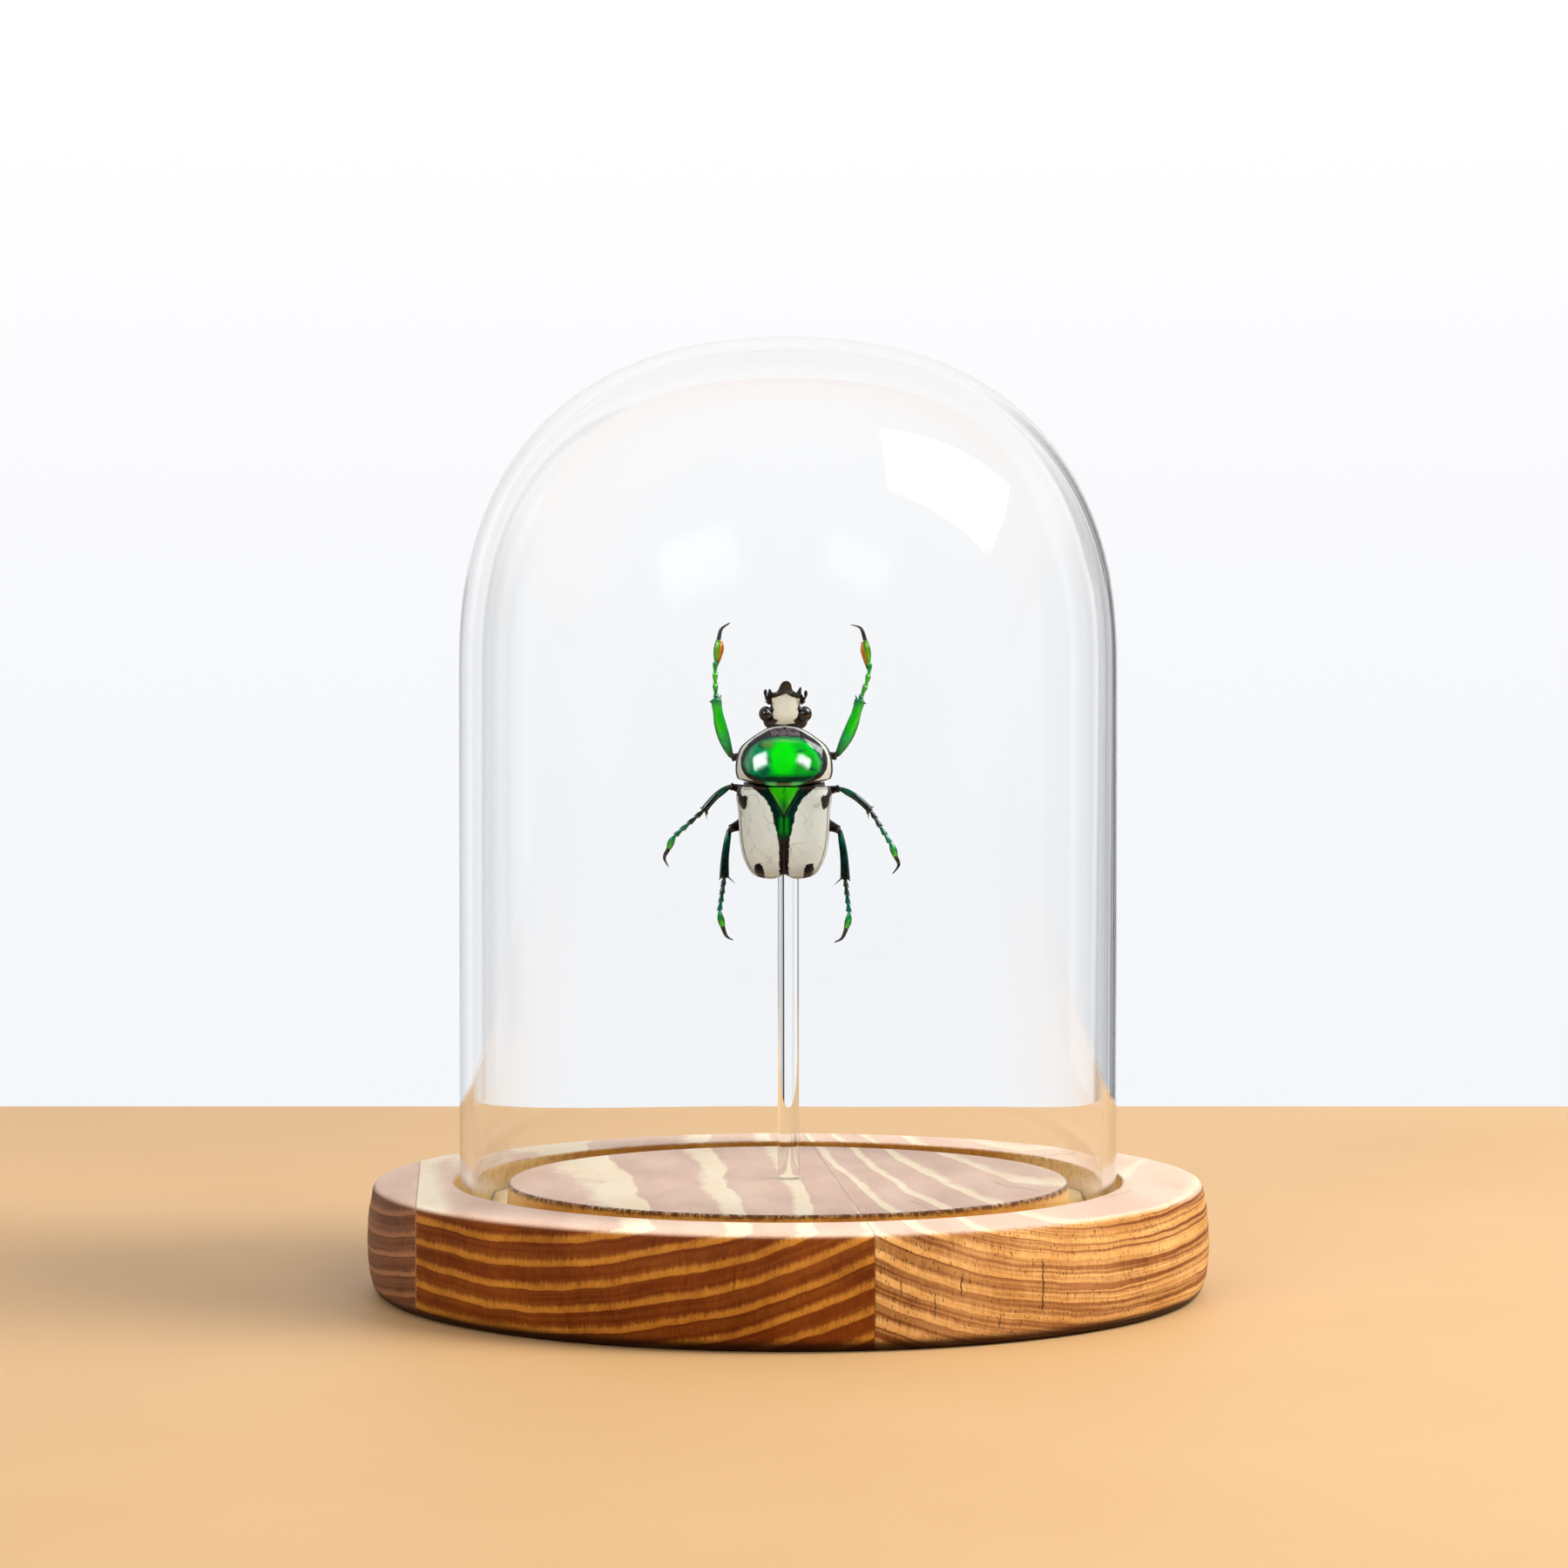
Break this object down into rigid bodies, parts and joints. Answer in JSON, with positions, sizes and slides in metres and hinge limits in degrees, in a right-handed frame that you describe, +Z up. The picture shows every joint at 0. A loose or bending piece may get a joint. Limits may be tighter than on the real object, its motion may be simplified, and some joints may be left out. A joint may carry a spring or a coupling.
{
  "type": "insect in glass dome",
  "caption": "Green and ivory flower beetle fixed head up on a clear rod, under a round-topped glass dome in a turned, stained wooden base.",
  "frame": {"origin": "centre of the wooden base's underside", "axes": "+Z up; the beetle's back faces -Y and its head points to +Z; +X is to the right as its back is looked at"},
  "size_m": [0.12, 0.12, 0.1353],
  "materials": {
    "stained_wood": "brown-stained pine with pale streaks, satin",
    "clear_glass": "clear, thin, polished",
    "clear_rod": "clear, solid, polished",
    "green_shell": "metallic emerald insect shell, glossy",
    "ivory_shell": "ivory enamel insect shell with fine cracks, satin gloss",
    "black_shell": "black insect shell, glossy",
    "green_leg": "metallic green insect leg, glossy",
    "dark_leg": "black insect leg with a blue-green sheen, glossy"
  },
  "bodies": {
    "root": {"wooden_base": "stained_wood", "glass_dome": "clear_glass", "glass_rod": "clear_rod", "pronotum": "green_shell", "scutellum": "green_shell", "thorax": "black_shell", "abdomen": "black_shell", "head": "ivory_shell", "eye_left": "black_shell", "eye_right": "black_shell", "antenna_left": "black_shell", "antenna_right": "black_shell", "elytron_left": "ivory_shell", "elytron_right": "ivory_shell", "femur_front_left": "black_shell", "tibia_front_left": "green_leg", "foot_front_left": "green_leg", "femur_front_right": "black_shell", "tibia_front_right": "green_leg", "foot_front_right": "green_leg", "femur_middle_left": "black_shell", "tibia_middle_left": "dark_leg", "foot_middle_left": "green_leg", "femur_middle_right": "black_shell", "tibia_middle_right": "dark_leg", "foot_middle_right": "green_leg", "femur_hind_left": "black_shell", "tibia_hind_left": "dark_leg", "foot_hind_left": "green_leg", "femur_hind_right": "black_shell", "tibia_hind_right": "dark_leg", "foot_hind_right": "green_leg"}
  },
  "joints": []
}
